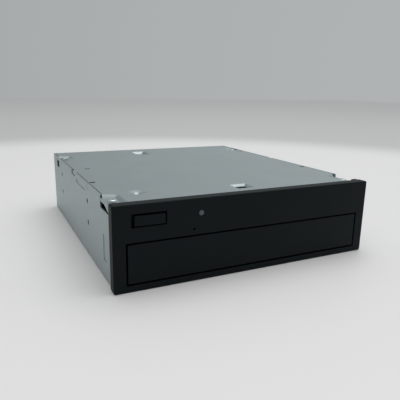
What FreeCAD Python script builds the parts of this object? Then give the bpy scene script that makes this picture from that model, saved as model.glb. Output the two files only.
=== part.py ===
import FreeCAD, Part
import math
import os

# Half-height disc drive, lying upside down: the cover rests on the table and the base plate faces up.
# X runs to the right seen from the front, Y runs back from the bezel's front face, Z runs up.
# All lengths are in millimetres.

Vector = FreeCAD.Vector
along_x = Vector(1, 0, 0)
along_y = Vector(0, 1, 0)
along_z = Vector(0, 0, 1)
full_turn = 360.0

# Envelope and sheet metal
case_width = 146.0
case_height = 41.1
overall_depth = 166.5
sheet = 0.8
bend_radius = 1.2
plate_seam = 0.4
run_gap = 0.3
fit_gap = 0.05
bite = 0.8  # how far a detail is sunk into the body that it belongs to
reach = 2.0  # how far a cut passes the face that it opens

# Mounting holes, standard for a drive of this bay size
side_hole_spread = 79.25
side_hole_setback = 47.4
upper_hole_drop = 9.9
lower_hole_drop = 21.84
base_hole_inset = 3.15
thread_radius = 1.5

# Case side details
notch_depth = 18.7
notch_height = 6.1
rear_slot_setback = 24.3
rear_slot_length = 9.0
rear_slot_drop = 2.15
rear_slot_height = 4.85
edge_notch_y = 85.0
edge_notch_length = 10.0
edge_notch_height = 2.5
edge_tab_length = 6.2
edge_tab_height = 1.8
side_slit_y = 51.2
side_slit_width = 0.5
side_slit_height = 3.8
side_panel_y = 58.0
side_panel_length = 22.0
side_panel_drop = 2.7
side_panel_height = 2.6
panel_sink = 0.25
joggle_setback = 13.0
joggle_sink = 0.2
catch_y = 15.5
catch_length = 5.0
catch_rise = 10.0
catch_height = 13.0
catch_sink = 0.3
cover_panel_margin = 11.0
cover_panel_y = 30.0
cover_panel_setback = 18.5
cover_panel_sink = 0.4
cover_panel_radius = 6.0

# Base plate details
pad_drop = 1.4
pad_shelf = 6.2
pad_inner_run = 1.7
pad_back_run = 2.2
pad_slant = 0.36  # how far a pad's back edge comes forward for each millimetre inwards
front_pad_back = 26.6
rear_pad_setback = 28.5
rear_pad_length = 13.7
plate_screw_inset = 4.1
front_screw_y = 13.6
front_screw_shift = -0.9  # the front pair of screws sits this far off the middle line
rear_screw_lead = 6.2
ear_length = 14.2
ear_height = 4.0
ear_slope_run = 7.5
ear_tail_height = 1.5
pocket_width = 9.8
pocket_run = 1.15  # how far a pocket's wall leans for each millimetre of its depth
front_pocket_x = 0.5
front_pocket_y = 10.8
front_pocket_length = 9.8
front_pocket_drop = 1.1
hook_hole_width = 7.0
hook_hole_length = 3.8
rear_pocket_x = -11.0
rear_pocket_setback = 27.5
rear_pocket_length = 16.0
rear_pocket_drop = 1.9
dimple_inset = 16.5
dimple_y = 22.0
dimple_radius = 4.8
dimple_throat = 2.4
dimple_floor = 0.7
dimple_shelf_drop = 0.6
dimple_drop = 2.0
bead_inset = 7.95
bead_y = 93.0
bead_radius = 1.8
bead_sink = 0.35

# Bezel
bezel_overhang = 1.0
bezel_lip = 0.2
bezel_depth = 5.3
bezel_wall = 2.2
bezel_rim = 2.0
bezel_lower_radius = 1.2
bezel_upper_radius = 1.0
bezel_edge = 0.7
frame_wall = 1.2
corner_ear_width = 3.2
corner_ear_depth = 2.7
corner_ear_height = 5.0
arm_height = 9.0
arm_rise = 9.3
arm_wall = 1.4
arm_length = 17.1
nub_length = 1.5

# Door and disc tray
door_margin = 6.8
door_height = 18.7
door_rise = 4.15
door_plate = 2.4
door_edge = 0.35
door_gap = 0.85
door_rib = 1.0
door_rib_depth = 2.0
door_rib_count = 6
door_hook_x = 41.0
door_hook_width = 10.0
door_hook_length = 7.0
door_hook_height = 1.6
tray_margin = 9.0
tray_rise = 7.6
tray_height = 4.6
tray_skin = 2.0
tray_back_gap = 4.5
disc_margin = 5.6
disc_side_wall = 3.25
disc_recess_depth = 2.6
small_recess_radius = 40.5
small_recess_depth = 0.7
slot_half = 22.0
rail_width = 2.4
rail_height = 3.0
rail_rise = 0.8
rail_start = 14.0

# Eject button, lamp and pinhole on the bezel
button_inset = 17.6
button_drop = 8.0
button_width = 15.0
button_height = 5.0
button_gap_left = 1.5
button_gap_right = 0.5
button_gap_top = 1.0
button_gap_bottom = 0.4
button_depth = 2.5
button_edge = 0.6
button_flange = 1.0
button_flange_margin = 0.9
button_travel = 0.8
button_stem_radius = 1.4
lamp_inset = 43.1
lamp_drop = 7.35
lamp_radius = 1.25
pipe_collar_radius = 2.2
pipe_collar_length = 1.2
pipe_length = 10.6
pinhole_radius = 0.6
pinhole_tube_radius = 1.8

# Chassis
chassis_gap = 0.4
chassis_wall = 1.8
chassis_front = 9.0
chassis_back_gap = 5.7
chassis_floor_rise = 19.0
chassis_floor = 2.0
chassis_wall_drop = 2.5
groove_lip = 1.5
step_back = 26.0
opening_lead = 18.55
opening_back_gap = 13.7
plate_post_half = 1.9
screw_radius = 1.2
screw_hole_gap = 0.1
screw_length = 8.0
screw_head_radius = 2.3
screw_head_height = 1.3
side_screw_room = 2.6
side_screw_reach = 5.0
front_rib = 1.5
front_rib_height = 3.0

# Gear train, true involute teeth of one module
gear_module = 1.0
pressure_angle = math.radians(20.0)
tooth_addendum = 0.85
tooth_dedendum = 1.1
tooth_backlash = 0.16
flank_steps = 2
rack_x = -38.0
rack_height = 4.0
rack_web = 4.0
rack_lead_teeth = 2.5
tray_gear_teeth = 20
pulley_gear_teeth = 12
tray_gear_y = 20.5
pulley_gear_bearing = math.radians(20.0)
gear_face = 3.4
gear_tray_gap = 0.6
gear_post_radius = 2.2
gear_hub_radius = 3.6
pulley_radius = 11.0
pulley_height = 2.0
pulley_gap = 0.4
pulley_groove = 2.0
belt_side = 1.2
motor_x = 16.0
motor_y = 23.4
motor_radius = 12.2
motor_flat_half = 9.8
motor_board_gap = 2.2
motor_boss_radius = 3.0
motor_boss_height = 1.2
motor_shaft_radius = 1.0
motor_pulley_radius = 3.4
motor_terminal_x = 5.0
motor_terminal_width = 2.0
motor_terminal_sheet = 0.4

# Traverse: the frame that carries spindle and pickup, and its lift cam
frame_half = 40.5
frame_side_gap = 2.5
frame_front_gap = 1.4
frame_back_gap = 2.0
frame_rise = 20.0
frame_plate = 2.4
frame_edge = 1.6
frame_edge_height = 3.2
pivot_setback = 4.0
pivot_rise = 24.0
pivot_radius = 2.0
bush_radius = 3.6
bush_length = 4.0
bearing_wall = 2.0
tilt_angle = math.radians(2.9)
lift_pin_x = 15.0
lift_pin_radius = 1.5
lift_pin_rise = 24.5
cam_travel = 14.0
cam_end_gap = 1.0
cam_tail = 17.0
cam_thickness = 3.2
cam_wall = 1.0
cam_dwell = 3.0
cam_hook_x = 24.0
cam_hook_width = 6.0
cam_hook_wall = 1.2
cam_hook_lip = 1.4
wedge_width = 12.0
wedge_depth = 6.5
wedge_height = 5.0
wedge_rise = 5.2
wedge_touch = 7.1

# Spindle
spindle_base_half = 19.0
spindle_base_depth = 27.0
spindle_base_sheet = 1.0
spindle_well_radius = 13.6
sleeve_radius = 3.2
sleeve_rise = 14.0
shaft_radius = 1.5
stator_radius = 10.4
stator_core_radius = 5.2
stator_rise = 14.6
stator_height = 4.4
stator_poles = 9
pole_width = 1.8
coil_width = 3.0
coil_length = 3.2
coil_wall = 0.8
rotor_radius = 12.0
rotor_wall = 0.8
rotor_rise = 12.4
rotor_height = 7.0
turntable_radius = 14.5
mat_inner_radius = 11.0
mat_height = 0.4
disc_seat_rise = 8.7
hub_radius = 7.4
hub_height = 1.8
hub_top_radius = 6.2
magnet_outer_radius = 5.2
magnet_inner_radius = 2.4
magnet_height = 1.2

# Pickup sled, rods and feed screw
screw_frame_gap = 7.5
rod_screw_gap = 6.0
rod_rise = 18.0
rod_radius = 1.5
rod_lug_wall = 1.8
rod_lug_length = 3.6
rod_seat = 2.0
rod_setback = 3.0
sled_window_side = 4.2
sled_window_screw = 4.5
sled_window_lead = 2.15
sled_window_setback = 5.8
pickup_inner = 23.0
pickup_ahead = 9.0
pickup_behind = 17.0
pickup_rod_gap = 4.5
pickup_rise = 14.0
pickup_height = 9.6
bush_lug_half = 3.2
pickup_lug_length = 6.0
lens_cover_half = 10.0
lens_cover_ahead = 7.5
lens_cover_behind = 9.0
lens_cover_sheet = 0.5
lens_cover_height = 1.4
lens_radius = 2.6
lens_rise = 10.5
lens_bulge = 0.8
lens_seat_radius = 4.4
lens_seat_height = 1.8
lens_well = 1.4
screw_rise = 21.0
lead_radius = 1.5
lead_setback = 9.0
lead_root = 1.0
feed_motor_radius = 6.5
feed_motor_length = 16.0
feed_motor_lead = 6.6
bracket_sheet = 1.0
bracket_half = 6.6
bracket_foot = 5.0
nut_half = 2.6
nut_length = 9.0
nut_arm_height = 2.2

# Disc clamp
bridge_rise = 4.2
bridge_sheet = 1.0
bridge_width = 24.0
bridge_hole_radius = 13.6
bridge_eye_wall = 4.0
bridge_tab_spread = 12.0
bridge_tab_length = 3.0
bridge_tab_wall = 1.0
clamp_flange_radius = 16.5
clamp_flange = 1.4
clamp_boss_radius = 13.1
clamp_face_gap = 1.3
clamp_pocket_radius = 8.6
clamp_pocket_depth = 2.0
clamp_plate_radius = 8.0
clamp_plate_sheet = 1.0

# Boards
board_drop = 5.0
board_sheet = 1.6
board_side_gap = 8.2
main_board_length = 68.5
main_board_back_gap = 1.2
main_post_inset = 9.0
main_post_lead = 8.0
main_post_setback = 8.5
front_board_side_gap = 7.7
front_board_right = 34.0
front_board_front = 10.6
front_board_back = 32.0
front_post_inset = 6.5
front_post_right_inset = 3.0
front_post_setback = 3.5
board_post_half = 2.4
switch_width = 6.0
switch_depth = 4.0
switch_y = 13.6
plunger_radius = 1.1
plunger_length = 1.4
plunger_seat = 1.6
lamp_body_width = 3.0
lamp_body_depth = 2.6
lamp_body_y = 11.0
chip_height = 1.4
controller_size = 20.0
controller_place = (-20.0, 26.0)
driver_size = 14.0
driver_place = (22.0, 20.0)
memory_size = 10.0
memory_place = (24.0, 42.0)
capacitor_radius = 2.6
capacitor_height = 2.8
capacitor_places = ((-46.0, 52.0), (-39.0, 52.0), (44.0, 32.0), (44.0, 40.0))
connector_inset = 13.0
connector_width = 42.0
connector_depth = 9.5
connector_height = 5.8
connector_wall = 0.9
connector_floor = 3.0
connector_face_gap = 0.6
tongue_height = 1.2
tongue_setback = 0.8
power_tongue_width = 20.6
data_tongue_width = 10.4
tongue_split = 2.4
contact_width = 0.8
contact_pitch = 1.27
contact_sheet = 0.2
contact_setback = 1.6
power_contacts = 15
data_contacts = 7
window_margin = 0.8
socket_depth = 4.0
socket_height = 2.0
socket_side = 0.8
pickup_socket_width = 16.0
pickup_socket_lead = 2.0
pickup_ribbon_width = 13.0
ribbon_sheet = 0.3
ribbon_loop = 13.25
ribbon_foot = 6.0
link_ribbon_inset = 20.0
link_ribbon_width = 10.0
link_socket_y = 26.0
link_socket_lead = 4.0

# Places that follow from the sizes above
bezel_height = case_height + 2 * bezel_lip
case_half = case_width / 2
bezel_half = case_half + bezel_overhang
case_low = bezel_lip
case_high = case_low + case_height
wall_in = case_half - sheet
floor_in = case_low + sheet
roof_in = case_high - sheet
rear_in = overall_depth - sheet
plate_half = wall_in - plate_seam
plate_back = rear_in - plate_seam
plate_front = bezel_depth + plate_seam
hole_rows = (bezel_depth + side_hole_setback, bezel_depth + side_hole_setback + side_hole_spread)
hole_levels = (case_high - upper_hole_drop, case_high - lower_hole_drop)
base_hole_x = case_half - base_hole_inset
pad_floor_x = plate_half - pad_shelf
pad_rim_x = pad_floor_x - pad_inner_run
pad_under = roof_in - pad_drop
corner_room_y = bezel_depth + corner_ear_depth + run_gap
rear_pad_y = overall_depth - rear_pad_setback
plate_screw_x = case_half - plate_screw_inset
plate_screw_places = [(side * plate_screw_x + shift, y) for side in (-1, 1) for shift, y in (
    (front_screw_shift, front_screw_y), (0, rear_pad_y + rear_screw_lead))]
button_x = button_inset - bezel_half
button_z = bezel_height - button_drop
lamp_x = lamp_inset - bezel_half
lamp_z = bezel_height - lamp_drop
door_half = bezel_half - door_margin
tray_half = case_half - tray_margin
tray_top = tray_rise + tray_height
tray_back = overall_depth - tray_back_gap
disc_recess_radius = tray_half - disc_side_wall
disc_y = door_plate + disc_margin + disc_recess_radius
chassis_half = wall_in - chassis_gap
chassis_back = rear_in - chassis_back_gap
chassis_top = chassis_floor_rise + chassis_floor
board_rise = roof_in - board_drop
board_top = board_rise + board_sheet
chassis_wall_top = board_rise - chassis_wall_drop
rail_low = tray_rise + rail_rise
rail_high = rail_low + rail_height
bridge_top = bridge_rise + bridge_sheet
tooth_pitch = math.pi * gear_module
tray_gear_radius = gear_module * tray_gear_teeth / 2
pulley_gear_radius = gear_module * pulley_gear_teeth / 2
tray_gear_x = rack_x + tray_gear_radius
gear_reach = tray_gear_radius + pulley_gear_radius
pulley_gear_x = tray_gear_x + gear_reach * math.cos(pulley_gear_bearing)
pulley_gear_y = tray_gear_y + gear_reach * math.sin(pulley_gear_bearing)
gear_low = tray_top + gear_tray_gap
gear_high = gear_low + gear_face
pulley_low = gear_high + pulley_gap
pulley_high = pulley_low + pulley_height
pulley_middle = (pulley_low + pulley_high) / 2
belt_inset = pulley_groove * (1 - belt_side / pulley_height) - fit_gap
motor_top = board_rise - motor_board_gap
opening_half = frame_half + frame_side_gap
opening_front = disc_y - opening_lead
opening_back = rear_in - opening_back_gap
frame_front = opening_front + frame_front_gap
frame_back = opening_back - frame_back_gap
frame_top = frame_rise + frame_plate
pivot_y = frame_back - pivot_setback
cam_front = opening_front - cam_thickness - 2 * run_gap
cam_back = cam_front + cam_thickness
cam_low = chassis_top + run_gap
cam_left = cam_end_gap - opening_half
cam_right = opening_half - cam_tail
pin_drop = (pivot_y - cam_back) * math.sin(tilt_angle)
cam_high = lift_pin_rise + lift_pin_radius + run_gap + pin_drop + cam_wall
wedge_left = cam_left + run_gap
pinhole_x = wedge_left + wedge_touch
pinhole_z = cam_low + wedge_rise
screw_x = frame_half - screw_frame_gap
rod_x = screw_x - rod_screw_gap
lens_y = disc_y + pickup_inner
pickup_half = rod_x - pickup_rod_gap
pickup_front = lens_y - pickup_ahead
pickup_back = lens_y + pickup_behind
pickup_top = pickup_rise + pickup_height
sled_window_front = pickup_front - sled_window_lead
sled_window_back = frame_back - sled_window_setback
feed_motor_back = sled_window_front - feed_motor_lead
rod_front = sled_window_front - rod_seat
rod_back = frame_back - rod_setback
lead_tail = frame_back - lead_setback
main_board_half = wall_in - board_side_gap
main_board_back = rear_in - main_board_back_gap
main_board_front = main_board_back - main_board_length
main_post_x = main_board_half - main_post_inset
main_posts = [(side * main_post_x, y) for side in (-1, 1)
              for y in (main_board_front + main_post_lead, main_board_back - main_post_setback)]
front_board_left = front_board_side_gap - wall_in
front_posts = [(x, front_board_back - front_post_setback)
               for x in (front_board_left + front_post_inset, front_board_right - front_post_right_inset)]
switch_height = 2 * (board_rise - button_z)
pickup_socket_y = main_board_front + pickup_socket_lead
connector_back = overall_depth - connector_face_gap
connector_low = board_rise - connector_height
connector_x = connector_inset + connector_width / 2 - main_board_half
link_ribbon_x = link_ribbon_inset - main_board_half


def block(x0, x1, y0, y1, z0, z1):
    return Part.makeBox(x1 - x0, y1 - y0, z1 - z0, Vector(x0, y0, z0))


def post(x, y, z0, z1, radius):
    return Part.makeCylinder(radius, z1 - z0, Vector(x, y, z0))


def bar_x(y, z, x0, x1, radius):
    return Part.makeCylinder(radius, x1 - x0, Vector(x0, y, z), along_x)


def bar_y(x, z, y0, y1, radius):
    return Part.makeCylinder(radius, y1 - y0, Vector(x, y0, z), along_y)


def outline_face(corners):
    return Part.Face(Part.makePolygon(corners + corners[:1]))


def prism(points, z0, z1):
    return outline_face([Vector(x, y, z0) for x, y in points]).extrude(along_z * (z1 - z0))


def front_prism(points, y0, y1):
    return outline_face([Vector(x, y0, z) for x, z in points]).extrude(along_y * (y1 - y0))


def side_prism(points, x0, x1):
    return outline_face([Vector(x0, y, z) for y, z in points]).extrude(along_x * (x1 - x0))


def tapered(low_outline, low, high_outline, high):
    below = [Vector(x, y, low) for x, y in low_outline]
    above = [Vector(x, y, high) for x, y in high_outline]
    sides = [outline_face([below[i - 1], below[i], above[i], above[i - 1]]) for i in range(len(below))]
    return Part.makeSolid(Part.makeShell([outline_face(below), outline_face(above)] + sides))


def turned(profile, x, y):
    face = outline_face([Vector(x + r, y, z) for r, z in profile])
    return face.revolve(Vector(x, y, 0), along_z, full_turn)


def mirrored(shape):
    return shape.mirror(Vector(0, 0, 0), along_x)


def both(shape):
    return [shape, mirrored(shape)]


def join(first, rest):
    return first.multiFuse(rest).removeSplitter()


def runs(edge, axis):
    if not isinstance(edge.Curve, Part.Line):
        return False
    return edge.tangentAt(edge.FirstParameter).cross(axis).Length < fit_gap


def middle(edge):
    return edge.BoundBox.Center


def rounded(shape, radius, wanted):
    return shape.makeFillet(radius, [edge for edge in shape.Edges if wanted(edge)])


def rounded_block(x0, x1, y0, y1, z0, z1, radius):
    return rounded(block(x0, x1, y0, y1, z0, z1), radius, lambda edge: runs(edge, along_z))


def pillar(x, y, z0, z1, half):
    return block(x - half, x + half, y - half, y + half, z0, z1)


def screw(x, y, seat):
    head = post(x, y, seat, seat + screw_head_height, screw_head_radius)
    return head.fuse(post(x, y, seat - screw_length, seat, screw_radius))


# Steel case and base plate


def bent_box(half, front, back, low, high, radius):
    box = block(-half, half, front, back, low, high)
    return rounded(box, radius, lambda edge: middle(edge).z < low + radius and middle(edge).y > front)


def side_cuts():
    outside = case_half + reach
    through = (wall_in - reach, outside)
    above = case_high + reach
    front_end = bezel_depth + notch_depth
    slot_from = overall_depth - rear_slot_setback
    slot_top = case_high - rear_slot_drop
    panel_top = case_high - side_panel_drop
    catch = (catch_y, catch_y + catch_length, catch_rise, catch_rise + catch_height)
    cuts = [bar_x(y, z, *through, thread_radius) for y in hole_rows for z in hole_levels]
    cuts.append(block(*through, bezel_depth - reach, front_end, case_high - notch_height, above))
    cuts.append(block(*through, slot_from, slot_from + rear_slot_length, slot_top - rear_slot_height,
                      slot_top))
    cuts.append(block(*through, edge_notch_y, edge_notch_y + edge_notch_length, case_high - edge_notch_height,
                      above))
    cuts.append(block(*through, side_slit_y, side_slit_y + side_slit_width, case_high - side_slit_height,
                      above))
    cuts.append(block(case_half - panel_sink, outside, side_panel_y, side_panel_y + side_panel_length,
                      panel_top - side_panel_height, panel_top))
    cuts.append(block(case_half - joggle_sink, outside, overall_depth - joggle_setback, overall_depth + reach,
                      case_low + bend_radius, above))
    cuts.append(block(case_half - catch_sink, outside, *catch))
    return block(wall_in - catch_sink, wall_in + sheet / 2, *catch), cuts


def outer_case():
    case = bent_box(case_half, bezel_depth, overall_depth, case_low, case_high, bend_radius)
    room = bent_box(wall_in, bezel_depth - reach, rear_in, floor_in, case_high + reach, bend_radius - sheet)
    catch, side = side_cuts()
    panel_half = case_half - cover_panel_margin
    panel = (-panel_half, panel_half, cover_panel_y, overall_depth - cover_panel_setback)
    panel_back = rounded_block(*panel, floor_in - sheet / 2, floor_in + cover_panel_sink, cover_panel_radius)
    cuts = [rounded_block(*panel, case_low - reach, case_low + cover_panel_sink, cover_panel_radius)]
    window_half = connector_width / 2 + window_margin
    cuts.append(block(connector_x - window_half, connector_x + window_half, rear_in - reach,
                      overall_depth + reach, connector_low - window_margin, board_rise + window_margin))
    for cut in side:
        cuts += both(cut)
    return join(case.cut(room), [panel_back] + both(catch)).cut(cuts)


def pressed(rim, floor, drop):
    return tapered(floor, roof_in - drop, rim, roof_in), tapered(floor, case_high - drop, rim, case_high)


def sunk_pad(front, front_run, back):
    far = plate_half + reach
    rim_corner = back - pad_slant * (far - pad_rim_x)
    floor_front = front + front_run
    floor_back = back - pad_back_run
    floor_corner = floor_back - pad_slant * (far - pad_floor_x)
    rim = ((far, front), (far, back), (pad_rim_x, rim_corner), (pad_rim_x, front))
    floor = ((far, floor_front), (far, floor_back), (pad_floor_x, floor_corner), (pad_floor_x, floor_front))
    under, hollow = pressed(rim, floor, pad_drop)
    return under.common(block(0, plate_half, plate_front, plate_back, pad_under, roof_in)), hollow


def corner_ear():
    top = case_high - pad_drop
    front = corner_room_y + sheet
    back = front + ear_length
    shelf = block(plate_half - sheet, case_half, front, back, pad_under, top)
    tail = top - ear_tail_height
    flap = ((front, top), (back, top), (back, tail), (front + ear_slope_run, tail), (front, top - ear_height))
    return join(shelf, [side_prism(flap, wall_in, case_half)])


def edge_tab():
    front = edge_notch_y + run_gap
    back = front + edge_tab_length
    shelf = block(plate_half - sheet, case_half, front, back, roof_in, case_high)
    return join(shelf, [block(wall_in, case_half, front, back, case_high - edge_tab_height, case_high)])


def pocket(x, front, length, drop):
    run = drop * pocket_run
    half = pocket_width / 2
    back = front + length
    rim = ((x - half, front), (x + half, front), (x + half, back), (x - half, back))
    floor = ((x - half + run, front + run), (x + half - run, front + run), (x + half - run, back - run),
             (x - half + run, back - run))
    return pressed(rim, floor, drop)


def hook_hole():
    back = front_pocket_y + front_pocket_length - front_pocket_drop * pocket_run - run_gap
    half = hook_hole_width / 2
    return block(front_pocket_x - half, front_pocket_x + half, back - hook_hole_length, back, roof_in - reach,
                 case_high)


def dimple():
    x = dimple_inset - plate_half
    lip = sheet / 2
    shelf = case_high - dimple_shelf_drop
    low = case_high - dimple_drop
    dish = ((dimple_radius, roof_in), (dimple_radius, case_high), (dimple_radius - lip, case_high),
            (dimple_throat - lip, shelf), (dimple_floor - lip, low), (0, low), (0, low - sheet),
            (dimple_floor, low - sheet), (dimple_throat, shelf - sheet))
    return post(x, dimple_y, roof_in - reach, case_high + reach, dimple_radius), turned(dish, x, dimple_y)


def base_plate():
    plate = block(-plate_half, plate_half, plate_front, plate_back, roof_in, case_high)
    ear_from = case_half - corner_ear_width - plate_seam
    window, dish = dimple()
    added = [dish] + both(corner_ear()) + both(edge_tab())
    holes = [hook_hole(), post(bead_inset - plate_half, bead_y, case_high - bead_sink, case_high + reach,
                               bead_radius)]
    holes.append(block(ear_from, plate_half + reach, plate_front - reach, corner_room_y, pad_under - reach,
                       case_high + reach))
    for under, hollow in (sunk_pad(plate_front - reach, 0, front_pad_back),
                          sunk_pad(rear_pad_y, pad_back_run, rear_pad_y + rear_pad_length)):
        added += both(under)
        holes += both(hollow)
    for under, hollow in (pocket(front_pocket_x, front_pocket_y, front_pocket_length, front_pocket_drop),
                          pocket(rear_pocket_x, overall_depth - rear_pocket_setback, rear_pocket_length,
                                 rear_pocket_drop)):
        added.append(under)
        holes.append(hollow)
    for y in hole_rows:
        holes += both(post(base_hole_x, y, roof_in - reach, case_high + reach, thread_radius))
    for x, y in plate_screw_places:
        holes.append(post(x, y, pad_under - reach, case_high, screw_radius + screw_hole_gap))
    return join(plate.cut(window), added).cut(holes)


def base_screws():
    return [screw(x, y, case_high - pad_drop) for x, y in plate_screw_places]


# Bezel, door, button and lamp


def window_frame(x0, x1, z0, z1):
    outer = block(x0 - frame_wall, x1 + frame_wall, bezel_wall - bite, bezel_depth, z0 - frame_wall,
                  z1 + frame_wall)
    return outer, block(x0, x1, -reach, bezel_depth + reach, z0, z1)


def button_hole():
    left = button_x - button_width / 2
    low = button_z - button_height / 2
    return (left - button_gap_left, left + button_width + button_gap_right,
            low - button_gap_bottom, low + button_height + button_gap_top)


def snap_arm():
    inner = wall_in - catch_sink - run_gap - arm_wall
    outer = inner + arm_wall
    arm_end = bezel_depth + arm_length
    nub_from = arm_end - nub_length
    levels = (arm_rise, arm_rise + arm_height)
    arm = block(inner, outer, bezel_wall - bite, arm_end, *levels)
    return arm.fuse(prism(((outer, nub_from), (wall_in - fit_gap, nub_from), (outer, arm_end)), *levels))


def corner_ear_block():
    return block(case_half - corner_ear_width, case_half, bezel_depth - bite, bezel_depth + corner_ear_depth,
                 case_high - corner_ear_height, case_high)


def bezel_shell():
    body = block(-bezel_half, bezel_half, 0, bezel_depth, 0, bezel_height)
    body = rounded(body, bezel_lower_radius,
                   lambda edge: runs(edge, along_y) and middle(edge).z < bezel_lower_radius)
    body = rounded(body, bezel_upper_radius,
                   lambda edge: runs(edge, along_y) and middle(edge).z > bezel_height - fit_gap)
    body = rounded(body, bezel_edge, lambda edge: edge.BoundBox.YMax < fit_gap)
    return body.cut(block(bezel_rim - bezel_half, bezel_half - bezel_rim, bezel_wall, bezel_depth + reach,
                          bezel_rim, bezel_height - bezel_rim))


def front_bezel():
    door_frame, door_hole = window_frame(-door_half - door_gap, door_half + door_gap, door_rise - door_gap,
                                         door_rise + door_height + door_gap)
    left, right, low, high = button_hole()
    margin = button_flange_margin + run_gap
    flange_frame, flange_room = window_frame(left - margin, right + margin, low - margin, high + margin)
    flange_room.translate(along_y * (bezel_wall + reach))
    tube = bar_y(pinhole_x, pinhole_z, bezel_wall - bite, bezel_depth, pinhole_tube_radius)
    added = [door_frame, flange_frame, tube] + both(snap_arm()) + [corner_ear_block()]
    through = (-reach, bezel_depth + reach)
    return join(bezel_shell(), added).cut([
        door_hole, flange_room, block(left, right, *through, low, high),
        bar_y(lamp_x, lamp_z, *through, lamp_radius + fit_gap),
        bar_y(pinhole_x, pinhole_z, *through, pinhole_radius)])


def tray_door():
    top = door_rise + door_height
    plate = block(-door_half, door_half, 0, door_plate, door_rise, top)
    plate = rounded(plate, door_edge, lambda edge: edge.BoundBox.YMax < fit_gap)
    rib_low = tray_top + door_hook_height
    rib_depth = (door_plate - bite, door_plate + door_rib_depth)
    hook_half = door_hook_width / 2
    added = both(block(door_hook_x - hook_half, door_hook_x + hook_half, door_plate - bite,
                       door_plate + door_hook_length, tray_top, rib_low))
    added.append(block(-tray_half, tray_half, *rib_depth, rib_low, rib_low + door_rib))
    spacing = (tray_half - door_rib) * 2 / door_rib_count
    for index in range(door_rib_count + 1):
        x = spacing * (index - door_rib_count / 2)
        added.append(block(x - door_rib / 2, x + door_rib / 2, *rib_depth, rib_low, top - door_rib))
    return join(plate, added)


def eject_button():
    left = button_x - button_width / 2
    low = button_z - button_height / 2
    cap = block(left, left + button_width, 0, button_depth, low, low + button_height)
    cap = rounded(cap, button_edge, lambda edge: edge.BoundBox.YMax < fit_gap)
    hole_left, hole_right, hole_low, hole_high = button_hole()
    flange_back = bezel_wall + run_gap + button_flange
    flange = block(hole_left - button_flange_margin, hole_right + button_flange_margin, bezel_wall + run_gap,
                   flange_back, hole_low - button_flange_margin, hole_high + button_flange_margin)
    stem = bar_y(button_x, button_z, flange_back - bite, plunger_front(), button_stem_radius)
    return join(cap, [flange, stem])


def plunger_front():
    return switch_y - plunger_length


def switch_plunger():
    return bar_y(button_x, button_z, plunger_front(), switch_y + plunger_seat, plunger_radius)


def eject_switch():
    body = block(button_x - switch_width / 2, button_x + switch_width / 2, switch_y, switch_y + switch_depth,
                 board_rise - switch_height, board_rise)
    socket_back = switch_y + plunger_seat + button_travel + run_gap
    return body.cut(bar_y(button_x, button_z, switch_y - reach, socket_back, plunger_radius + fit_gap))


def light_pipe():
    rod = bar_y(lamp_x, lamp_z, 0, pipe_length, lamp_radius)
    collar = bar_y(lamp_x, lamp_z, bezel_depth, bezel_depth + pipe_collar_length, pipe_collar_radius)
    return join(rod, [collar])


def activity_lamp():
    half = lamp_body_width / 2
    return block(lamp_x - half, lamp_x + half, lamp_body_y, lamp_body_y + lamp_body_depth,
                 lamp_z - lamp_radius, board_rise)


# Disc tray with its rack


def rack_outline():
    root = rack_x - tooth_dedendum * gear_module
    tip = rack_x + tooth_addendum * gear_module
    half = (tooth_pitch / 2 - tooth_backlash) / 2
    slope = math.tan(pressure_angle)
    half_root = half + tooth_dedendum * gear_module * slope
    half_tip = half - tooth_addendum * gear_module * slope
    first = tray_gear_y - tooth_pitch * rack_lead_teeth
    count = int((tray_back - first) / tooth_pitch)
    points = [(root - rack_web, first - half_root)]
    for index in range(count):
        y = first + tooth_pitch * index
        points += [(root, y - half_root), (tip, y - half_tip), (tip, y + half_tip), (root, y + half_root)]
    points.append((root - rack_web, points[-1][1]))
    return points


def disc_tray():
    tray = block(-tray_half, tray_half, door_plate, tray_back, tray_rise, tray_top)
    recess_floor = tray_rise + disc_recess_depth
    hollow_low = tray_rise + tray_skin
    hollow = block(tray_skin - tray_half, tray_half - tray_skin, door_plate + tray_skin,
                   tray_back - tray_skin, hollow_low, tray_top + reach)
    rack_seat = rack_x - tooth_dedendum * gear_module - rack_web - tray_skin
    hollow = hollow.cut([
        post(0, disc_y, tray_rise, tray_top + reach, disc_recess_radius + tray_skin),
        block(-slot_half - tray_skin, slot_half + tray_skin, disc_y, tray_back, tray_rise, tray_top + reach),
        block(rack_seat, rack_x + tray_skin, door_plate, tray_back, tray_rise, tray_top + reach)])
    rails = both(block(tray_half - bite, tray_half + rail_width, rail_start, tray_back, rail_low, rail_high))
    rack = prism(rack_outline(), tray_top - bite, tray_top + rack_height)
    tray = tray.cut([
        hollow,
        post(0, disc_y, tray_rise - reach, recess_floor, disc_recess_radius),
        post(0, disc_y, tray_rise - reach, recess_floor + small_recess_depth, small_recess_radius),
        post(0, disc_y, tray_rise - reach, tray_top + reach, slot_half),
        block(-slot_half, slot_half, disc_y, tray_back + reach, tray_rise - reach, tray_top + reach)])
    return join(tray, rails + [rack])


# Chassis


def side_wall():
    inner = chassis_half - chassis_wall
    front_inner = inner - chassis_wall - run_gap / 2
    front_outer = front_inner + chassis_wall
    step = (step_back, step_back + chassis_wall)
    lip_from = tray_half + run_gap
    forms = [block(inner, chassis_half, step_back, chassis_back, bridge_top, chassis_wall_top),
             block(front_inner, front_outer, chassis_front, step[1], bridge_top, chassis_top),
             block(front_inner, chassis_half, *step, bridge_top, chassis_wall_top)]
    for level in (rail_low - run_gap - groove_lip, rail_high + run_gap):
        forms.append(block(lip_from, front_outer, chassis_front, chassis_back, level, level + groove_lip))
        forms.append(block(front_inner, chassis_half, step_back, chassis_back, level, level + groove_lip))
    return forms


def pivot_bearing():
    half = bush_radius + bearing_wall
    return block(opening_half, opening_half + bush_length + bearing_wall, pivot_y - half, pivot_y + half,
                 chassis_top - bite, pivot_rise + half)


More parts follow.
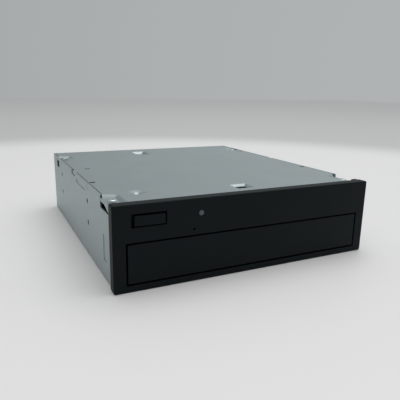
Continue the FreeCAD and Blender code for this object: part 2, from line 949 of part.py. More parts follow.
def slider_hook(x):
    half = cam_hook_width / 2
    top = cam_high + run_gap
    lip_from = cam_back + run_gap
    lip_back = lip_from + cam_hook_wall
    arm = block(x - half, x + half, cam_front - run_gap - cam_hook_wall, lip_back, top, top + cam_hook_wall)
    return [arm, block(x - half, x + half, lip_from, lip_back, top - cam_hook_lip, top)]


def bridge_tabs(gap, z0, z1):
    x = chassis_half - chassis_wall / 2
    half = bridge_tab_wall / 2 + gap
    length = bridge_tab_length / 2 + gap
    tabs = []
    for y in (disc_y - bridge_tab_spread / 2, disc_y + bridge_tab_spread / 2):
        tabs += both(block(x - half, x + half, y - length, y + length, z0, z1))
    return tabs


def loader_chassis():
    floor = block(-chassis_half, chassis_half, chassis_front, chassis_back, chassis_floor_rise, chassis_top)
    floor = floor.cut(block(-opening_half, opening_half, opening_front, opening_back,
                            chassis_floor_rise - reach, chassis_top + reach))
    added = both(pivot_bearing()) + bridge_tabs(0.0, bridge_rise, bridge_top + bite)
    for form in side_wall():
        added += both(form)
    floor_in_post = chassis_top - bite
    guide_back = cam_front - run_gap
    guide_front = guide_back - cam_hook_wall
    added.append(block(-chassis_half, chassis_half, chassis_front, chassis_front + front_rib, floor_in_post,
                       chassis_top + front_rib_height))
    added.append(block(-opening_half, opening_half, guide_front, guide_back, floor_in_post,
                       cam_high + run_gap + cam_hook_wall))
    added += slider_hook(cam_hook_x) + slider_hook(-cam_hook_x)
    added += [pillar(x, y, floor_in_post, pad_under, plate_post_half) for x, y in plate_screw_places]
    added += [pillar(x, y, floor_in_post, board_rise, board_post_half) for x, y in main_posts + front_posts]
    for x, y in ((tray_gear_x, tray_gear_y), (pulley_gear_x, pulley_gear_y)):
        added.append(post(x, y, gear_low, chassis_floor_rise + bite, gear_post_radius))
    cuts = both(bar_x(pivot_y, pivot_rise, opening_half - reach, opening_half + bush_length,
                      bush_radius + fit_gap))
    room = (chassis_half - side_screw_reach, chassis_half + reach)
    for y in hole_rows:
        for z in hole_levels:
            cuts += both(block(*room, y - side_screw_room, y + side_screw_room, z - side_screw_room,
                               z + side_screw_room))
    for x, y in plate_screw_places:
        cuts.append(post(x, y, pad_under - screw_length, pad_under + reach, screw_radius + fit_gap))
    cuts.append(post(motor_x, motor_y, chassis_floor_rise - reach, chassis_top + reach,
                     motor_boss_radius + fit_gap))
    wedge_half = wedge_height / 2 + run_gap
    cuts.append(block(cam_left - run_gap, cam_left + wedge_width + cam_travel + run_gap, guide_front - reach,
                      guide_back + fit_gap, pinhole_z - wedge_half, pinhole_z + wedge_half))
    return join(floor, added).cut(cuts)


# Gear train


def gear_solid(teeth, phase, z0, z1):
    pitch = gear_module * teeth / 2
    base = pitch * math.cos(pressure_angle)
    tip = pitch + tooth_addendum * gear_module
    root = pitch - tooth_dedendum * gear_module
    half = (tooth_pitch / 2 - tooth_backlash) / 2 / pitch
    roll = math.tan(pressure_angle) - pressure_angle

    def flank(radius):
        turn = math.acos(min(1.0, base / radius))
        return half + roll - (math.tan(turn) - turn)

    start = max(base, root)
    radii = [root] + [start + (tip - start) * step / flank_steps for step in range(flank_steps + 1)]
    points = []
    for tooth in range(teeth):
        angle = phase + 2 * math.pi * tooth / teeth
        points += [(radius, angle - flank(radius)) for radius in radii]
        points += [(radius, angle + flank(radius)) for radius in reversed(radii)]
    return prism([(r * math.cos(a), r * math.sin(a)) for r, a in points], z0, z1)


def placed(shape, x, y):
    return shape.translated(Vector(x, y, 0))


def tray_gear():
    gear = gear_solid(tray_gear_teeth, 0.0, gear_low, gear_high)
    hub = post(0, 0, gear_high - bite, chassis_floor_rise - run_gap, gear_hub_radius)
    gear = join(gear, [hub]).cut(post(0, 0, gear_low - reach, chassis_floor_rise, gear_post_radius + fit_gap))
    return placed(gear, tray_gear_x, tray_gear_y)


def pulley_gear():
    # Turned so that a tooth space of this gear faces a tooth of the tray gear on the line of centres.
    lead = tray_gear_radius * pulley_gear_bearing - tooth_pitch / 2
    phase = pulley_gear_bearing + math.pi + lead / pulley_gear_radius
    pinion = gear_solid(pulley_gear_teeth, phase, gear_low, gear_high)
    hub = post(0, 0, gear_high - bite, pulley_low + bite, gear_hub_radius)
    gear = join(pinion, [hub, grooved_wheel(pulley_radius)])
    gear = gear.cut(post(0, 0, gear_low - reach, pulley_high + reach, gear_post_radius + fit_gap))
    return placed(gear, pulley_gear_x, pulley_gear_y)


def grooved_wheel(radius):
    return turned(((0, pulley_low), (radius, pulley_low), (radius - pulley_groove, pulley_middle),
                   (radius, pulley_high), (0, pulley_high)), 0, 0)


def motor_pulley():
    bore = post(0, 0, pulley_low - reach, pulley_high + reach, motor_shaft_radius)
    return placed(grooved_wheel(motor_pulley_radius).cut(bore), motor_x, motor_y)


def motor_shaft():
    return post(motor_x, motor_y, pulley_low, motor_top - motor_boss_height, motor_shaft_radius)


def belt_loop(margin, z0, z1):
    big = pulley_radius - belt_inset + margin
    small = motor_pulley_radius - belt_inset + margin
    dx = motor_x - pulley_gear_x
    dy = motor_y - pulley_gear_y
    heading = math.atan2(dy, dx)
    spread = math.acos((big - small) / math.hypot(dx, dy))

    def spot(x, y, radius, angle):
        return Vector(x + radius * math.cos(angle), y + radius * math.sin(angle), z0)

    big_arc = [spot(pulley_gear_x, pulley_gear_y, big, heading + turn) for turn in (spread, math.pi, -spread)]
    small_arc = [spot(motor_x, motor_y, small, heading + turn) for turn in (-spread, 0.0, spread)]
    edges = [Part.Arc(*big_arc).toShape(), Part.makeLine(big_arc[-1], small_arc[0]),
             Part.Arc(*small_arc).toShape(), Part.makeLine(small_arc[-1], big_arc[0])]
    return Part.Face(Part.Wire(edges)).extrude(along_z * (z1 - z0))


def drive_belt():
    low = pulley_middle - belt_side / 2
    high = pulley_middle + belt_side / 2
    return belt_loop(belt_side, low, high).cut(belt_loop(0.0, low - reach, high + reach))


def loading_motor():
    can = post(motor_x, motor_y, chassis_top, motor_top, motor_radius)
    can = can.common(block(motor_x - motor_flat_half, motor_x + motor_flat_half, motor_y - motor_radius,
                           motor_y + motor_radius, chassis_top, motor_top))
    boss_low = chassis_top - motor_boss_height
    added = [post(motor_x, motor_y, boss_low, chassis_top + bite, motor_boss_radius)]
    half = motor_terminal_width / 2
    thin = motor_terminal_sheet / 2
    for x in (motor_x - motor_terminal_x, motor_x + motor_terminal_x):
        added.append(block(x - half, x + half, motor_y - thin, motor_y + thin, motor_top - bite, board_rise))
    bore = post(motor_x, motor_y, boss_low - reach, motor_top - motor_boss_height,
                motor_shaft_radius + fit_gap)
    return join(can, added).cut(bore)


# Lift cam and traverse


def cam_slot(x):
    half = lift_pin_radius + run_gap
    low = lift_pin_rise - half
    high = lift_pin_rise + half
    near = x + cam_dwell
    far = x - cam_travel
    end = far - cam_dwell
    points = ((near, low), (near, high), (x, high), (far, high + pin_drop), (end, high + pin_drop),
              (end, low + pin_drop), (far, low + pin_drop), (x, low))
    return front_prism(points, cam_front - reach, cam_back + reach)


def cam_slider():
    slider = block(cam_left, cam_right, cam_front, cam_back, cam_low, cam_high)
    tip = wedge_left + wedge_width
    wedge = prism(((wedge_left, cam_front), (tip, cam_front - wedge_depth), (tip, cam_front)),
                  pinhole_z - wedge_height / 2, pinhole_z + wedge_height / 2)
    return join(slider, [wedge]).cut([cam_slot(lift_pin_x), cam_slot(-lift_pin_x)])


def rod_lug(x, y0, y1):
    half = rod_radius + rod_lug_wall
    return block(x - half, x + half, y0, y1, rod_rise - half, frame_rise + bite)


def frame_plate_with_rim():
    inner_half = frame_half - frame_edge
    rim_top = frame_top + frame_edge_height
    plate = block(-frame_half, frame_half, frame_front, frame_back, frame_rise, rim_top)
    hollow = block(-inner_half, inner_half, frame_front + frame_edge, frame_back - frame_edge, frame_top,
                   rim_top + reach)
    window = block(-rod_x - sled_window_side, screw_x + sled_window_screw, sled_window_front,
                   sled_window_back, frame_rise - reach, frame_top + reach)
    return plate.cut([hollow, window])


def traverse_frame():
    added = both(bar_y(lift_pin_x, lift_pin_rise, cam_front, frame_front + frame_edge, lift_pin_radius))
    added += both(bar_x(pivot_y, pivot_rise, frame_half - frame_edge, opening_half + bush_length - run_gap,
                        pivot_radius))
    below = frame_rise - reach
    above = frame_top + frame_edge_height + reach
    cuts = [post(0, disc_y, below, above, spindle_well_radius)]
    for x in (-rod_x, rod_x):
        added.append(rod_lug(x, sled_window_front - rod_lug_length, sled_window_front))
        added.append(rod_lug(x, sled_window_back, frame_back))
        cuts.append(bar_y(x, rod_rise, rod_front, rod_back, rod_radius + fit_gap))
    tail_half = lead_radius + rod_lug_wall
    added.append(block(screw_x - tail_half, screw_x + tail_half, lead_tail - rod_lug_wall, frame_back - bite,
                       screw_rise - tail_half, frame_top))
    motor_room = feed_motor_radius + run_gap
    motor_span = (feed_motor_back - feed_motor_length - run_gap, feed_motor_back + bracket_sheet + run_gap)
    cuts.append(block(screw_x - motor_room, screw_x + motor_room, *motor_span, below, above))
    screw_room = lead_radius + run_gap
    cuts.append(block(screw_x - screw_room, screw_x + screw_room, feed_motor_back, sled_window_front + reach,
                      below, frame_top + fit_gap))
    cuts.append(bar_y(screw_x, screw_rise, sled_window_front, lead_tail + fit_gap, lead_radius + fit_gap))
    return join(frame_plate_with_rim(), added).cut(cuts)


def guide_rod(x):
    return bar_y(x, rod_rise, rod_front, rod_back, rod_radius)


def pivot_bushes():
    bush = bar_x(pivot_y, pivot_rise, opening_half, opening_half + bush_length, bush_radius)
    return both(bush.cut(bar_x(pivot_y, pivot_rise, opening_half - reach, opening_half + bush_length + reach,
                               pivot_radius + fit_gap)))


def spindle_base():
    half = spindle_base_depth / 2
    base = block(-spindle_base_half, spindle_base_half, disc_y - half, disc_y + half, frame_top,
                 frame_top + spindle_base_sheet)
    sleeve = post(0, disc_y, sleeve_rise, frame_top + spindle_base_sheet / 2, sleeve_radius)
    return join(base, [sleeve]).cut(post(0, disc_y, sleeve_rise - reach, frame_top, shaft_radius + fit_gap))


def spindle_stator():
    top = stator_rise + stator_height
    half = pole_width / 2
    coil_from = stator_core_radius + coil_wall
    pole = block(stator_core_radius - bite, stator_radius, -half, half, stator_rise + coil_wall,
                 top - coil_wall)
    coil = block(coil_from, coil_from + coil_length, -coil_width / 2, coil_width / 2, stator_rise, top)
    arm = pole.fuse(coil)
    step = full_turn / stator_poles
    arms = [arm.rotated(Vector(0, 0, 0), along_z, step * index) for index in range(stator_poles)]
    core = post(0, 0, stator_rise, top, stator_core_radius)
    bore = post(0, 0, stator_rise - reach, top + reach, sleeve_radius)
    return placed(join(core, arms).cut(bore), 0, disc_y)


def spindle_rotor():
    low = rotor_rise
    high = rotor_rise + rotor_height
    cup = turned(((0, low), (rotor_radius, low), (rotor_radius, high), (rotor_radius - rotor_wall, high),
                  (rotor_radius - rotor_wall, low + rotor_wall), (0, low + rotor_wall)), 0, disc_y)
    shaft = post(0, disc_y, low, frame_top - run_gap, shaft_radius)
    return join(cup, [shaft])


def turntable():
    seat = disc_seat_rise + mat_height
    magnet_seat = disc_seat_rise + magnet_height
    hub_top = disc_seat_rise - hub_height
    profile = ((0, magnet_seat), (magnet_outer_radius, magnet_seat), (magnet_outer_radius, hub_top),
               (hub_top_radius, hub_top), (hub_radius, seat), (turntable_radius, seat),
               (turntable_radius, rotor_rise), (0, rotor_rise))
    return turned(profile, 0, disc_y)


def turntable_mat():
    seat = disc_seat_rise + mat_height
    return turned(((mat_inner_radius, disc_seat_rise), (turntable_radius, disc_seat_rise),
                   (turntable_radius, seat), (mat_inner_radius, seat)), 0, disc_y)


def hub_magnet():
    seat = disc_seat_rise + magnet_height
    return turned(((magnet_inner_radius, disc_seat_rise), (magnet_outer_radius, disc_seat_rise),
                   (magnet_outer_radius, seat), (magnet_inner_radius, seat)), 0, disc_y)


# Pickup sled and feed


def pickup_housing():
    body = block(-pickup_half, pickup_half, pickup_front, pickup_back, pickup_rise, pickup_top)
    well = block(bite - lens_cover_half, lens_cover_half - bite, lens_y - lens_cover_ahead + bite,
                 lens_y + lens_cover_behind - bite, pickup_rise - reach, pickup_rise + lens_well)
    levels = (rod_rise - bush_lug_half, rod_rise + bush_lug_half)
    lugs = []
    for y in (pickup_front, pickup_back - pickup_lug_length):
        lugs.append(block(-rod_x - bush_lug_half, bite - pickup_half, y, y + pickup_lug_length, *levels))
    middle_y = (pickup_front + pickup_back - pickup_lug_length) / 2
    lugs.append(block(pickup_half - bite, rod_x + rod_radius + fit_gap, middle_y,
                      middle_y + pickup_lug_length, *levels))
    span = (pickup_front - reach, pickup_back + reach)
    bore = rod_radius + fit_gap
    cuts = [well] + both(bar_y(rod_x, rod_rise, *span, bore))
    cuts.append(block(rod_x, rod_x + bush_lug_half + reach, *span, rod_rise - bore, rod_rise + bore))
    return join(body, lugs).cut(cuts)


def lens_cover():
    low = pickup_rise - lens_cover_height
    front = lens_y - lens_cover_ahead
    back = lens_y + lens_cover_behind
    cover = block(-lens_cover_half, lens_cover_half, front, back, low, pickup_rise)
    inner = lens_cover_half - lens_cover_sheet
    room = block(-inner, inner, front + lens_cover_sheet, back - lens_cover_sheet, low + lens_cover_sheet,
                 pickup_rise + reach)
    return cover.cut([room, post(0, lens_y, low - reach, pickup_rise, lens_seat_radius + run_gap)])


def objective_lens():
    rim = lens_rise + lens_bulge
    return turned(((0, lens_rise), (lens_radius, rim), (lens_seat_radius, rim),
                   (lens_seat_radius, rim + lens_seat_height), (lens_radius, pickup_rise + lens_well),
                   (0, pickup_rise + lens_well)), 0, lens_y)


def feed_nut():
    middle_y = (pickup_front + pickup_back) / 2
    span = (middle_y - nut_length / 2, middle_y + nut_length / 2)
    left = screw_x - nut_half
    top = screw_rise + nut_half
    nut = block(left, screw_x + nut_half, *span, screw_rise - nut_half, top)
    arm = block(pickup_half, left + bite, *span, top - nut_arm_height, top)
    return join(nut, [arm]).cut(bar_y(screw_x, screw_rise, span[0] - reach, span[1] + reach,
                                      lead_radius + fit_gap))


def lead_screw():
    return bar_y(screw_x, screw_rise, feed_motor_back - lead_root, lead_tail, lead_radius)


def feed_motor():
    can = bar_y(screw_x, screw_rise, feed_motor_back - feed_motor_length, feed_motor_back, feed_motor_radius)
    return can.cut(bar_y(screw_x, screw_rise, feed_motor_back - lead_root - run_gap, feed_motor_back + reach,
                         lead_radius + fit_gap))


def feed_bracket():
    left = screw_x - bracket_half
    front = feed_motor_back
    plate = block(left, screw_x + bracket_half, front, front + bracket_sheet, screw_rise - bracket_half,
                  frame_top + bracket_sheet)
    foot_back = front + bracket_sheet + run_gap + bracket_foot
    foot = block(left, frame_half - frame_edge - run_gap, front, foot_back, frame_top,
                 frame_top + bracket_sheet)
    return join(plate, [foot]).cut(bar_y(screw_x, screw_rise, front - reach, front + bracket_foot + reach,
                                         lead_radius + run_gap))


# Disc clamp


def clamp_bridge():
    half = bridge_width / 2
    strip = block(-chassis_half, chassis_half, disc_y - half, disc_y + half, bridge_rise, bridge_top)
    eye = post(0, disc_y, bridge_rise, bridge_top, bridge_hole_radius + bridge_eye_wall)
    through = (bridge_rise - reach, bridge_top + reach)
    hole = post(0, disc_y, *through, bridge_hole_radius)
    return join(strip, [eye]).cut([hole] + bridge_tabs(fit_gap, *through))


def clamp_puck():
    flange_high = bridge_rise - run_gap
    flange_low = flange_high - clamp_flange
    face = disc_seat_rise - clamp_face_gap
    pocket = face - clamp_pocket_depth
    return turned(((0, flange_low), (clamp_flange_radius, flange_low), (clamp_flange_radius, flange_high),
                   (clamp_boss_radius, flange_high), (clamp_boss_radius, face), (clamp_pocket_radius, face),
                   (clamp_pocket_radius, pocket), (0, pocket)), 0, disc_y)


def clamp_plate():
    seat = disc_seat_rise - clamp_face_gap - clamp_pocket_depth
    return post(0, disc_y, seat, seat + clamp_plate_sheet, clamp_plate_radius)


# Boards, connector and flat cables


def main_board():
    return block(-main_board_half, main_board_half, main_board_front, main_board_back, board_rise, board_top)


def front_board():
    return block(front_board_left, front_board_right, front_board_front, front_board_back, board_rise,
                 board_top)


def board_chips():
    chips = []
    for (x, y), size in ((controller_place, controller_size), (driver_place, driver_size),
                         (memory_place, memory_size)):
        chips.append(pillar(x, main_board_front + y, board_top, board_top + chip_height, size / 2))
    return chips


def board_capacitors():
    return [post(x, main_board_front + y, board_top, board_top + capacitor_height, capacitor_radius)
            for x, y in capacitor_places]


def tongue_spans():
    left = connector_x - (power_tongue_width + tongue_split + data_tongue_width) / 2
    data_left = left + power_tongue_width + tongue_split
    return ((left, left + power_tongue_width), (data_left, data_left + data_tongue_width))


def rear_connector():
    half = connector_width / 2
    front = connector_back - connector_depth
    floor = front + connector_floor
    body = block(connector_x - half, connector_x + half, front, connector_back, connector_low, board_rise)
    room = block(connector_x - half + connector_wall, connector_x + half - connector_wall, floor,
                 connector_back + reach, connector_low + connector_wall, board_rise - connector_wall)
    level = (connector_low + board_rise - tongue_height) / 2
    tongues = [block(x0, x1, floor - bite, connector_back - tongue_setback, level, level + tongue_height)
               for x0, x1 in tongue_spans()]
    return join(body.cut(room), tongues)


def connector_contacts():
    level = (connector_low + board_rise + tongue_height) / 2
    front = connector_back - connector_depth + connector_floor
    half = contact_width / 2
    strips = []
    for (x0, x1), count in zip(tongue_spans(), (power_contacts, data_contacts)):
        first = (x0 + x1 - (count - 1) * contact_pitch) / 2
        for index in range(count):
            x = first + index * contact_pitch
            strips.append(block(x - half, x + half, front, connector_back - contact_setback, level,
                                level + contact_sheet))
    return strips


def ribbon_sockets():
    half = pickup_socket_width / 2
    sockets = [block(-half, half, pickup_socket_y, pickup_socket_y + socket_depth, board_rise - socket_height,
                     board_rise)]
    link_half = link_ribbon_width / 2 + socket_side
    for y in (link_socket_y, main_board_front + link_socket_lead):
        sockets.append(block(link_ribbon_x - link_half, link_ribbon_x + link_half, y, y + socket_depth,
                             board_top, board_top + socket_height))
    return sockets


def link_ribbon():
    half = link_ribbon_width / 2
    level = board_top + socket_height / 2
    return block(link_ribbon_x - half, link_ribbon_x + half, link_socket_y + socket_depth,
                 main_board_front + link_socket_lead, level, level + ribbon_sheet)


def pickup_ribbon():
    low = pickup_top
    high = board_rise - socket_height / 2
    bend = (high - low) / 2
    loop_back = pickup_back + ribbon_loop
    turn_y = loop_back - bend
    start = pickup_back - ribbon_foot
    end = pickup_socket_y + socket_depth

    def loop(inset):
        lower = low + inset
        upper = high - inset
        return [Vector(0, start, lower), Vector(0, turn_y, lower), Vector(0, loop_back - inset, low + bend),
                Vector(0, turn_y, upper), Vector(0, end, upper)]

    def strip(points):
        foot, lower, back, upper, head = points
        turn = Part.Arc(lower, back, upper).toShape()
        return [Part.makeLine(foot, lower), turn, Part.makeLine(upper, head)]

    outer = loop(0.0)
    inner = loop(ribbon_sheet)
    edges = strip(outer) + [Part.makeLine(outer[-1], inner[-1])] + strip(inner)
    edges.append(Part.makeLine(inner[0], outer[0]))
    ribbon = Part.Face(Part.Wire(Part.__sortEdges__(edges))).extrude(along_x * pickup_ribbon_width)
    return ribbon.translated(along_x * (-pickup_ribbon_width / 2))


pieces = {
    "outer_case": outer_case,
    "base_plate": base_plate,
    "base_screws": base_screws,
    "front_bezel": front_bezel,
    "light_pipe": light_pipe,
    "activity_lamp": activity_lamp,
    "front_board": front_board,
    "eject_switch": eject_switch,
    "loader_chassis": loader_chassis,
    "loading_motor": loading_motor,
    "drive_belt": drive_belt,
    "clamp_bridge": clamp_bridge,
    "main_board": main_board,
    "board_chips": board_chips,
    "board_capacitors": board_capacitors,
    "rear_connector": rear_connector,
    "connector_contacts": connector_contacts,
    "ribbon_sockets": ribbon_sockets,
    "link_ribbon": link_ribbon,
    "pickup_ribbon": pickup_ribbon,
    "pivot_bushes": pivot_bushes,
    "disc_tray": disc_tray,
    "tray_door": tray_door,
    "eject_button": eject_button,
    "switch_plunger": switch_plunger,
    "tray_gear": tray_gear,
    "pulley_gear": pulley_gear,
    "motor_pulley": motor_pulley,
    "motor_shaft": motor_shaft,
    "cam_slider": cam_slider,
    "traverse_frame": traverse_frame,
    "main_guide_rod": lambda: guide_rod(-rod_x),
    "side_guide_rod": lambda: guide_rod(rod_x),
    "spindle_base": spindle_base,
    "spindle_stator": spindle_stator,
    "feed_motor": feed_motor,
    "feed_bracket": feed_bracket,
    "spindle_rotor": spindle_rotor,
    "turntable": turntable,
    "turntable_mat": turntable_mat,
    "hub_magnet": hub_magnet,
    "pickup_housing": pickup_housing,
    "lens_cover": lens_cover,
    "objective_lens": objective_lens,
    "feed_nut": feed_nut,
    "lead_screw": lead_screw,
    "clamp_puck": clamp_puck,
    "clamp_plate": clamp_plate,
}


def write_pieces():
    os.makedirs("parts", exist_ok=True)
    to_origin = Vector(0, -overall_depth / 2, 0)
    for name, make in pieces.items():
        made = make()
        solids = made if isinstance(made, list) else made.Solids
        shape = solids[0] if len(solids) == 1 else Part.makeCompound(solids)
        shape.translated(to_origin).exportStep("parts/" + name + ".step")
        print(name, len(solids), round(shape.Volume, 1), shape.isValid())


write_pieces()
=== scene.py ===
import math

import bmesh
import bpy
from mathutils import Matrix, Quaternion, Vector


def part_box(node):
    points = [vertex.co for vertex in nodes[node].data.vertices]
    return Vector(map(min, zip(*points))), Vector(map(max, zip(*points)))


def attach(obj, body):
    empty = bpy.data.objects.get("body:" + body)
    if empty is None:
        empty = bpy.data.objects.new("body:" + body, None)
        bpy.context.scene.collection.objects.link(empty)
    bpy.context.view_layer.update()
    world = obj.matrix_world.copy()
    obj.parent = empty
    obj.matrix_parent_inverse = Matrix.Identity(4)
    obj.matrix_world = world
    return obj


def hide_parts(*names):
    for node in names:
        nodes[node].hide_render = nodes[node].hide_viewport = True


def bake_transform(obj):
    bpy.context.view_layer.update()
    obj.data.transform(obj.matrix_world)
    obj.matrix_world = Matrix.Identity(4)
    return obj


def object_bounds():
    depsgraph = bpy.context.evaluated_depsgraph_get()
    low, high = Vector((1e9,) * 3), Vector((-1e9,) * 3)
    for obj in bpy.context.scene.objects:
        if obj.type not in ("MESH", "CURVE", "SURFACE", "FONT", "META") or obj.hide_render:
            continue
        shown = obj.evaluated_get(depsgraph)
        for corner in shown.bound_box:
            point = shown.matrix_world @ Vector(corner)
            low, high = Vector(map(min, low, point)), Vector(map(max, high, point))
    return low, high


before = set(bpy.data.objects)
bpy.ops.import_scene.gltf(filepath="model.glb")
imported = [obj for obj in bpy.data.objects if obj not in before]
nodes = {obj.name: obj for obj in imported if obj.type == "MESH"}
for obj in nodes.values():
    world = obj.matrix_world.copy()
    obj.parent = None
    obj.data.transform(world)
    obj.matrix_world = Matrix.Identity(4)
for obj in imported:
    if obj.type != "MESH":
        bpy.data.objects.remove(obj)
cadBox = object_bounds()
mm = 0.001
halfDepth = (cadBox[1].y - cadBox[0].y) / 2  # the bezel's front stands this far before the origin
sameSpot = 0.002 * mm  # points nearer than this are one point
crispBend = 50.0  # a bend of this many degrees or more shows as a crisp edge


def linear(hexText):  # sRGB hex to the linear colour that a socket takes
    parts = [int(hexText[i:i + 2], 16) / 255 for i in (1, 3, 5)]
    return [p / 12.92 if p <= 0.04045 else ((p + 0.055) / 1.055) ** 2.4 for p in parts] + [1.0]


def addNode(tree, kind, settings=None, links=None):
    node = tree.nodes.new("ShaderNode" + kind)
    for key, value in (settings or {}).items():
        if key == "stops":
            while len(node.color_ramp.elements) < len(value):
                node.color_ramp.elements.new(0.5)
            for stop, (place, colour) in zip(node.color_ramp.elements, value):
                stop.position = place
                stop.color = linear(colour) if isinstance(colour, str) else (colour, colour, colour, 1.0)
        elif isinstance(key, int) or key in node.inputs:
            node.inputs[key].default_value = linear(value) if isinstance(value, str) else value
        else:
            setattr(node, key, value)
    for key, source in (links or {}).items():
        tree.links.new(source, node.inputs[key])
    return node


def perMetre(*sizesInMm):  # how many of a pattern's cells go into a metre, for each axis
    return tuple(1.0 / (size * mm) for size in sizesInMm)


def bandScale(sizeInMm):  # a wave texture has about 3.2 bands to the unit at a scale of one
    return 1.0 / (sizeInMm * mm) / 3.2


def newMaterial(name, shader):
    material = bpy.data.materials.new(name)
    material.use_nodes = True
    tree = material.node_tree
    tree.nodes.clear()
    body = addNode(tree, "BsdfPrincipled", shader)
    addNode(tree, "OutputMaterial", {}, {"Surface": body.outputs["BSDF"]})
    coords = addNode(tree, "TexCoord")
    return material, tree, body.inputs, coords.outputs["Object"]


def grained(spec):
    # two tones drift over the surface in soft patches, and a finer grain gives the gloss and the relief
    material, tree, sockets, place = newMaterial(spec["name"], spec["shader"])
    patchSpread = addNode(tree, "Mapping", {"Scale": perMetre(*spec["patch"])}, {"Vector": place})
    patch = addNode(tree, "TexNoise", {"Scale": 1.0, "Detail": 3.0}, {"Vector": patchSpread.outputs[0]})
    tones = addNode(tree, "ValToRGB", {"stops": [(0.32, spec["tones"][0]), (0.68, spec["tones"][1])]},
                    {"Fac": patch.outputs["Fac"]})
    grainSpread = addNode(tree, "Mapping", {"Scale": perMetre(*spec["grain"])}, {"Vector": place})
    grain = addNode(tree, "TexNoise", {"Scale": 1.0, "Detail": 2.0}, {"Vector": grainSpread.outputs[0]})
    gloss = addNode(tree, "MapRange", {"To Min": spec["gloss"][0], "To Max": spec["gloss"][1]},
                    {"Value": grain.outputs["Fac"]})
    edge = addNode(tree, "Bevel", {"samples": 4, "Radius": spec["edge"] * mm})  # no edge is quite sharp
    relief = addNode(tree, "Bump", {"Strength": spec["strength"], "Distance": spec["relief"] * mm},
                     {"Height": grain.outputs["Fac"], "Normal": edge.outputs["Normal"]})
    tree.links.new(tones.outputs["Color"], sockets["Base Color"])
    tree.links.new(gloss.outputs["Result"], sockets["Roughness"])
    tree.links.new(relief.outputs["Normal"], sockets["Normal"])
    return material


# Zinc-coated steel sheet, rolled: satin blue-grey, faintly patchy, with rolling lines along its length
zincSteel = grained({
    "name": "zincCoatedSteelRolled", "shader": {"Metallic": 1.0},
    "tones": ("#a1acae", "#a4afb1"), "patch": (14.0, 22.0, 9.0),
    "grain": (0.5, 14.0, 0.5), "gloss": (0.40, 0.50), "relief": 0.02, "strength": 0.25, "edge": 0.15})
# Nickel-plated steel, turned and drawn: brighter and smoother than the sheet
brightSteel = grained({
    "name": "nickelPlatedSteelTurned", "shader": {"Metallic": 1.0},
    "tones": ("#bcc5c8", "#ccd3d5"), "patch": (3.0, 3.0, 3.0),
    "grain": (0.3, 0.3, 0.08), "gloss": (0.20, 0.32), "relief": 0.01, "strength": 0.2, "edge": 0.1})
# ABS moulded in a spark-eroded cavity: deep black, dull, with a fine even grain that is drawn coarser than
# the real one, which is too fine to show
bezelPlastic = grained({
    "name": "blackAbsSparkTextured",
    "shader": {"IOR": 1.53, "Specular IOR Level": 0.15, "Specular Tint": "#e4faff"},
    "tones": ("#050a0c", "#080c0e"), "patch": (12.0, 12.0, 12.0),
    "grain": (0.45, 0.45, 0.45), "gloss": (0.46, 0.60), "relief": 0.03, "strength": 0.3, "edge": 0.2})
# ABS moulded in a plain cavity, for the tray: charcoal, a little smoother than the bezel
trayPlastic = grained({
    "name": "charcoalAbsMoulded", "shader": {"IOR": 1.53, "Specular IOR Level": 0.4},
    "tones": ("#1b1d1f", "#222426"), "patch": (20.0, 20.0, 20.0),
    "grain": (0.6, 0.6, 0.6), "gloss": (0.38, 0.52), "relief": 0.02, "strength": 0.25, "edge": 0.2})
# Glass-filled polymer, moulded: dark grey with the flow of short fibres in it
chassisPlastic = grained({
    "name": "glassFilledPolymerMoulded", "shader": {"IOR": 1.56, "Specular IOR Level": 0.4},
    "tones": ("#232527", "#2d2f31"), "patch": (6.0, 18.0, 6.0),
    "grain": (0.4, 1.6, 0.4), "gloss": (0.42, 0.62), "relief": 0.03, "strength": 0.3, "edge": 0.2})
# Natural acetal, moulded: ivory white, waxy, light goes a little way in
gearPlastic = grained({
    "name": "naturalAcetalMoulded",
    "shader": {"IOR": 1.48, "Subsurface Weight": 0.15, "Subsurface Radius": (0.002, 0.0016, 0.0012),
               "Subsurface Scale": 1.0},
    "tones": ("#dcd8c9", "#e8e5d8"), "patch": (5.0, 5.0, 5.0),
    "grain": (0.5, 0.5, 0.5), "gloss": (0.30, 0.42), "relief": 0.01, "strength": 0.2, "edge": 0.15})
# Acrylic rod, moulded, smoked: a frosted grey end that shows as a dull disc
lampPlastic = grained({
    "name": "smokedAcrylicFrosted", "shader": {"IOR": 1.49, "Transmission Weight": 0.15},
    "tones": ("#4c5154", "#565b5e"), "patch": (1.2, 1.2, 1.2),
    "grain": (0.2, 0.2, 0.2), "gloss": (0.30, 0.42), "relief": 0.01, "strength": 0.2, "edge": 0.15})
# Epoxy moulding compound: black, very dull, sandy
chipResin = grained({
    "name": "blackEpoxyMoulded", "shader": {"IOR": 1.55},
    "tones": ("#1a1b1c", "#222324"), "patch": (4.0, 4.0, 4.0),
    "grain": (0.25, 0.25, 0.25), "gloss": (0.55, 0.7), "relief": 0.02, "strength": 0.3, "edge": 0.15})
# Aluminium can, drawn: pale, with fine drawing lines up its side
capacitorCan = grained({
    "name": "drawnAluminiumCan", "shader": {"Metallic": 1.0},
    "tones": ("#cfd1d2", "#dbdddd"), "patch": (2.0, 2.0, 4.0),
    "grain": (0.2, 0.2, 3.0), "gloss": (0.25, 0.4), "relief": 0.01, "strength": 0.2, "edge": 0.3})
# Nylon, moulded: black with a soft sheen
connectorPlastic = grained({
    "name": "blackNylonMoulded", "shader": {"IOR": 1.53},
    "tones": ("#141516", "#1b1c1d"), "patch": (5.0, 5.0, 5.0),
    "grain": (0.4, 0.4, 0.4), "gloss": (0.35, 0.5), "relief": 0.02, "strength": 0.25, "edge": 0.1})
